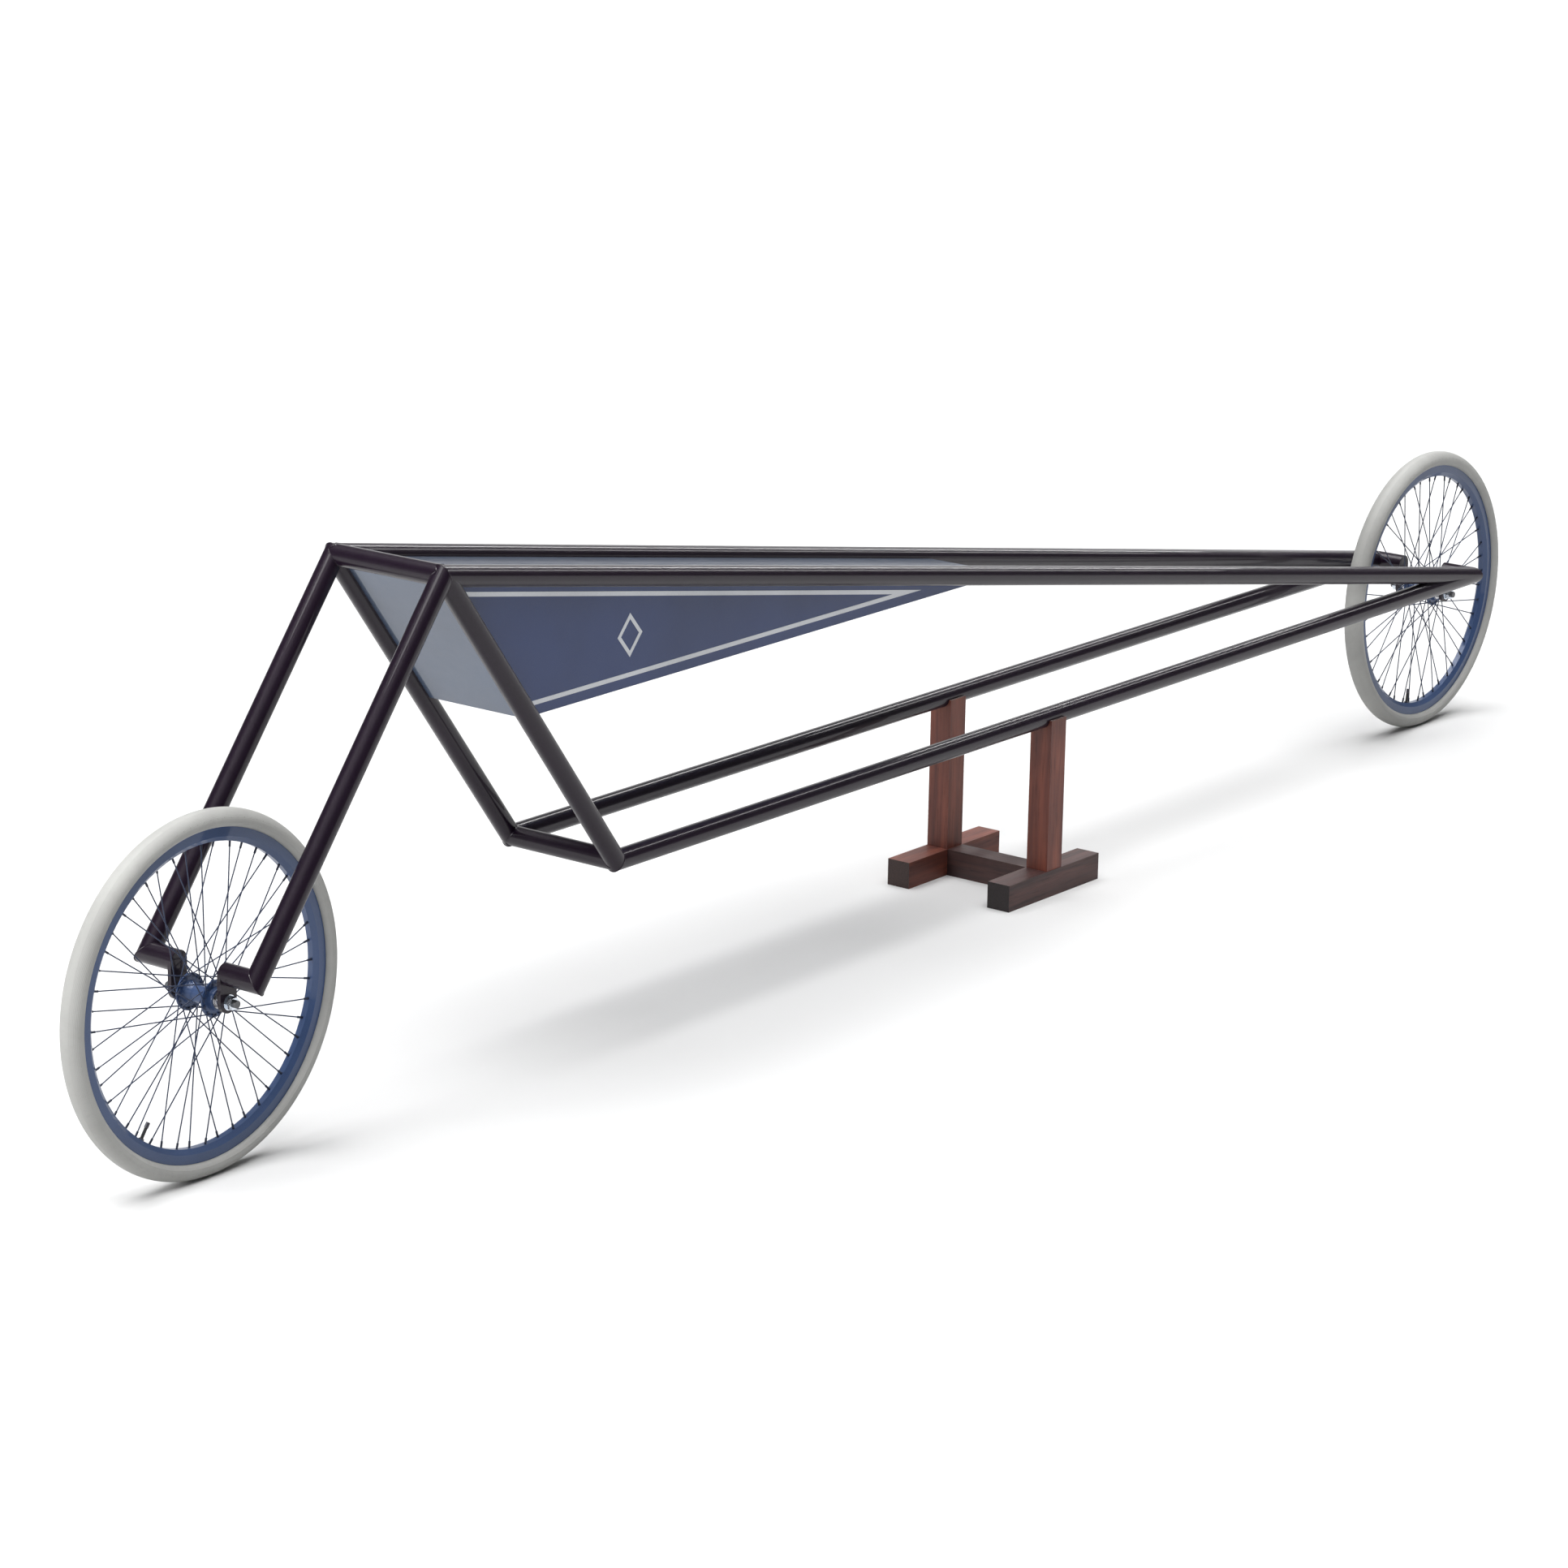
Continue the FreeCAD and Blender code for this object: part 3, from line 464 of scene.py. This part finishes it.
def shifted(line, distance):
    """A parallel line, moved down by the distance square to itself."""
    start, heading = line
    normal = Vector((-heading.z, 0, heading.x))
    if normal.z > 0:
        normal = -normal
    return start + normal * distance, heading


def trim_plate(outline, sign):
    """A thin plate on one side of the tank from XZ corners."""
    inner = [Vector((p.x, sign * PANEL_FACE, p.z)) for p in outline]
    outer = [Vector((p.x, sign * (PANEL_FACE + TRIM_THICKNESS), p.z)) for p in outline]
    count = len(outline)
    faces = [tuple(range(count)), tuple(reversed(range(count, 2 * count)))]
    faces += [(i, i + count, (i + 1) % count + count, (i + 1) % count) for i in range(count)]
    if sign < 0:
        faces = [tuple(reversed(face)) for face in faces]
    return inner + outer, [tuple(reversed(face)) for face in faces]


def build_tank_stripes():
    """A silver line along the top and the bottom of each side panel, meeting at the tail."""
    rail = line_through(TOP_CORNER, REAR_APEX - TOP_CORNER)
    down = line_through(TOP_CORNER, LOW_CORNER - TOP_CORNER)
    foot = TOP_CORNER + (LOW_CORNER - TOP_CORNER) * TANK_FRONT_SHARE
    tail = crossing(rail, (Vector((TANK_TAIL_X, 0, 0)), Vector((0, 0, 1))))
    floor = line_through(foot, tail - foot)
    front = shifted(down, STRIPE_FROM_DOWN_TUBE)
    upper_outer = shifted(rail, STRIPE_FROM_RAIL)
    upper_inner = shifted(rail, STRIPE_FROM_RAIL + STRIPE_WIDTH)
    lower_outer = shifted(floor, -STRIPE_FROM_FLOOR)
    lower_inner = shifted(floor, -STRIPE_FROM_FLOOR - STRIPE_WIDTH)
    tip = crossing(upper_outer, lower_outer)
    inner_tip = crossing(upper_inner, lower_inner)
    parts = []
    for _, sign in SIDES:
        parts.append(trim_plate([crossing(front, upper_outer), tip, inner_tip,
                                 crossing(front, upper_inner)], sign))
        parts.append(trim_plate([crossing(front, lower_inner), inner_tip, tip,
                                 crossing(front, lower_outer)], sign))
    vertices, faces = merged(parts)
    piece("tank_stripes", vertices, faces, SILVER, "frame", smooth=False)


def build_tank_badges():
    """A plain open diamond on each side panel, in four bars."""
    corners = [Vector((BADGE_HALF_WIDTH, 0, 0)), Vector((0, 0, BADGE_HALF_HEIGHT)),
               Vector((-BADGE_HALF_WIDTH, 0, 0)), Vector((0, 0, -BADGE_HALF_HEIGHT))]
    parts = []
    for _, sign in SIDES:
        for index, first in enumerate(corners):
            second = corners[(index + 1) % len(corners)]
            parts.append(trim_plate([BADGE_CENTRE + first, BADGE_CENTRE + second,
                                     BADGE_CENTRE + second * BADGE_HOLE_SHARE,
                                     BADGE_CENTRE + first * BADGE_HOLE_SHARE], sign))
    vertices, faces = merged(parts)
    piece("tank_badges", vertices, faces, SILVER, "frame", smooth=False)


# ---------------------------------------------------------------- tyres

TYRE_STEPS = 256
CROWN_CENTRE = (0.3045, 0)
CROWN_RADIUS = 0.0255
SIDE_CENTRE = (0.31083, 0.01078)
SIDE_RADIUS = 0.0130
SHOULDER_ANGLE = 59.6
LIP_ANGLE = 163.5
HOLLOW_CENTRE = (0.311, 0)
HOLLOW_RADIUS = 0.0155
BEAD_INNER = 0.0072
BEAD_OUTER = 0.0107
RIB_CENTRE = 0.308
RIB_START = 24
RIB_END = 76
RIB_PITCH = 5.2
RIB_DEPTH = 0.0003
LINE_START = 92
LINE_END = 98
LINE_HEIGHT = 0.0004
NUBS_PER_SIDE = 120
NUB_LEAN = math.radians(64)
NUB_DEPTH = 0.0002


def arc(centre, radius, start, finish, steps):
    """(radius, offset) points on an arc of the section, from start to finish in degrees."""
    turns = [math.radians(start + (finish - start) * step / steps) for step in range(steps + 1)]
    return [(centre[0] + radius * math.cos(turn), centre[1] + radius * math.sin(turn)) for turn in turns]


def rib_cut(away):
    """How far the skin lies inside its plain arc, at an angle round the section in degrees."""
    if RIB_START < away < RIB_END:
        return RIB_DEPTH * (0.5 - 0.5 * math.cos(math.radians((away - RIB_START) * 360 / RIB_PITCH)))
    if LINE_START < away < LINE_END:
        share = (away - LINE_START) / (LINE_END - LINE_START)
        return -LINE_HEIGHT * math.sin(math.pi * share)
    return 0.0


def tyre_outline():
    """The tyre's section with fine ribs on both shoulders, as (radius, offset) from the axle."""
    crown = arc(CROWN_CENTRE, CROWN_RADIUS, 0, SHOULDER_ANGLE, 60)
    side = arc(SIDE_CENTRE, SIDE_RADIUS, SHOULDER_ANGLE, LIP_ANGLE, 60)[1:]
    outer = []
    for radius, offset in crown + side:
        cut = rib_cut(math.degrees(math.atan2(offset, radius - RIB_CENTRE)))
        heading = Vector((radius - RIB_CENTRE, offset)).normalized()
        outer.append((radius - heading.x * cut, offset - heading.y * cut))
    bead = [(0.2983, BEAD_OUTER), (0.2833, BEAD_OUTER), (0.2833, BEAD_INNER), (0.2973, BEAD_INNER)]
    hollow = arc(HOLLOW_CENTRE, HOLLOW_RADIUS, 150, -150, 20)
    return ([(radius, -offset) for radius, offset in reversed(outer[1:])] + outer + bead + hollow
            + [(radius, -offset) for radius, offset in reversed(bead)])


def nub(base, normal, radius=0.00055, height=0.0011, sides=6):
    """A tiny moulding nub."""
    first = normal.orthogonal().normalized()
    second = normal.cross(first)
    ring = [(first * math.cos(turn) + second * math.sin(turn)) * radius
            for turn in (math.tau * side / sides for side in range(sides))]
    low = [base + step for step in ring]
    high = [base + normal * height + step * 0.7 for step in ring]
    vertices = low + high
    faces = []
    for side in range(sides):
        following = (side + 1) % sides
        faces.append((side, following, following + sides, side + sides))
    faces.append(tuple(range(sides, 2 * sides)))
    return vertices, faces


def build_tyres():
    """A finer tyre on each wheel, with ribs and moulding nubs, in place of the plain one."""
    for name in WHEELS:
        centre = AXLES[name]
        parts = [turned_ring(tyre_outline(), centre, TYRE_STEPS)]
        for index in range(NUBS_PER_SIDE):
            for _, sign in SIDES:
                angle = math.tau * (index + 0.25 * sign) / NUBS_PER_SIDE
                out = Vector((math.cos(angle), 0, math.sin(angle)))
                normal = out * math.cos(NUB_LEAN) + ACROSS * (sign * math.sin(NUB_LEAN))
                arc_centre = centre + out * SIDE_CENTRE[0] + ACROSS * (sign * SIDE_CENTRE[1])
                parts.append(nub(arc_centre + normal * (SIDE_RADIUS - NUB_DEPTH), normal))
        vertices, faces = merged(parts)
        tyre = piece(f"{name}_white_tyre", vertices, faces, LOOKS["tyre_white"], f"{name}_wheel")
        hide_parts(f"{name}_tyre")


# ---------------------------------------------------------------- stage, light and camera

FLOOR_HALF = 60.0
WALL_RADIUS = 58.0
WALL_HEIGHT = 45.0
WALL_SIDES = 96


def build_stage():
    """The plain pale floor."""
    make = Nodes("floor_paper")
    place = make.place()
    cloud = make.noise(place, 0.6, 3.0)
    tone = make.ramp(cloud, "Fac", [(0.3, (0.625, 0.625, 0.625)), (0.7, (0.645, 0.645, 0.645))])
    make.join(tone, "Color", make.shader, "Base Color")
    make.set(Roughness=0.9, Specular_IOR_Level=0.1)
    corners = [(-FLOOR_HALF, -FLOOR_HALF, 0), (FLOOR_HALF, -FLOOR_HALF, 0),
               (FLOOR_HALF, FLOOR_HALF, 0), (-FLOOR_HALF, FLOOR_HALF, 0)]
    mesh = bpy.data.meshes.new("floor")
    mesh.from_pydata(corners, [], [(0, 1, 2, 3)])
    mesh.materials.append(make.material)
    floor = bpy.data.objects.new("floor", mesh)
    bpy.context.scene.collection.objects.link(floor)


def build_wall():
    """A pale ring of paper at the floor's far edge, seen only where a view looks past the floor."""
    make = Nodes("wall_paper")
    make.set(Base_Color=(0.9, 0.9, 0.9, 1), Roughness=0.9,
             Emission_Color=(1, 1, 1, 1), Emission_Strength=1.0)
    vertices = []
    faces = []
    for index in range(WALL_SIDES):
        angle = math.tau * index / WALL_SIDES
        for height in (-0.5, WALL_HEIGHT):
            vertices.append((WALL_RADIUS * math.cos(angle), WALL_RADIUS * math.sin(angle), height))
        first = 2 * index
        second = (first + 2) % (2 * WALL_SIDES)
        faces.append((first, second, second + 1, first + 1))
    mesh = bpy.data.meshes.new("wall")
    mesh.from_pydata(vertices, [], faces)
    mesh.materials.append(make.material)
    wall = bpy.data.objects.new("wall", mesh)
    bpy.context.scene.collection.objects.link(wall)
    wall.visible_diffuse = False
    wall.visible_glossy = False
    wall.visible_shadow = False


def area_light(name, spot, target, width, length, power):
    """A rectangular lamp at the spot, facing the target."""
    data = bpy.data.lights.new(name, "AREA")
    data.shape = "RECTANGLE"
    data.size = width
    data.size_y = length
    data.energy = power
    light = bpy.data.objects.new(name, data)
    bpy.context.scene.collection.objects.link(light)
    light.location = spot
    aim = (Vector(target) - Vector(spot)).to_track_quat("-Z", "Y")
    light.rotation_mode = "QUATERNION"
    light.rotation_quaternion = aim
    return light


def build_light():
    """A wide overhead sun, a soft lamp in front, and three lamps seen only in reflections."""
    world = bpy.data.worlds.new("studio")
    bpy.context.scene.world = world
    world.use_nodes = True
    background = world.node_tree.nodes["Background"]
    background.inputs["Color"].default_value = (0.93, 0.97, 1.0, 1)
    background.inputs["Strength"].default_value = 0.10
    data = bpy.data.lights.new("sky", "SUN")
    data.energy = 5.6
    data.angle = math.radians(68)
    sun = bpy.data.objects.new("sky", data)
    bpy.context.scene.collection.objects.link(sun)
    sun.rotation_euler = (0, math.radians(5), 0)
    area_light("front_bank", (4.7, -0.9, 1.3), (2.0, 0.0, 0.5), 1.4, 1.4, 62)
    backdrop = area_light("backdrop", (-27.0, -20.6, 6.5), (0.0, 0.0, 6.5), 44.0, 15.0, 1900)
    backdrop.visible_diffuse = False
    for name, across, power in (("strip_far", -1.3, 380), ("strip_near", 1.9, 220)):
        strip = area_light(name, (-3.5, across, 4.4), (-3.5, across * 0.6, 0.0), 15.0, 0.3, power)
        strip.visible_diffuse = False


def build_camera():
    """The camera looks back along the vehicle from ahead of its left side."""
    yaw = math.radians(37.41)
    pitch = math.radians(15.47)
    roll = math.radians(-1.08)
    level = Vector((-math.cos(yaw), -math.sin(yaw), 0))
    ahead = level * math.cos(pitch) - Vector((0, 0, math.sin(pitch)))
    right = Vector((-math.sin(yaw), math.cos(yaw), 0))
    below = ahead.cross(right)
    turned_right = right * math.cos(roll) + below * math.sin(roll)
    turned_below = below * math.cos(roll) - right * math.sin(roll)
    data = bpy.data.cameras.new("camera")
    data.sensor_width = 36.0
    data.lens = 112.47
    data.clip_start = 0.1
    data.clip_end = 300.0
    camera = bpy.data.objects.new("camera", data)
    bpy.context.scene.collection.objects.link(camera)
    turn = Matrix((turned_right, -turned_below, -ahead)).transposed().to_4x4()
    camera.matrix_world = Matrix.Translation((7.84329, 5.67932, 2.95367)) @ turn
    bpy.context.scene.camera = camera


build_seams()
build_tank_stripes()
build_tank_badges()
build_tyres()
build_stage()
build_wall()
build_light()
build_camera()
bpy.context.scene.view_settings.view_transform = "Standard"

bpy.context.view_layer.update()
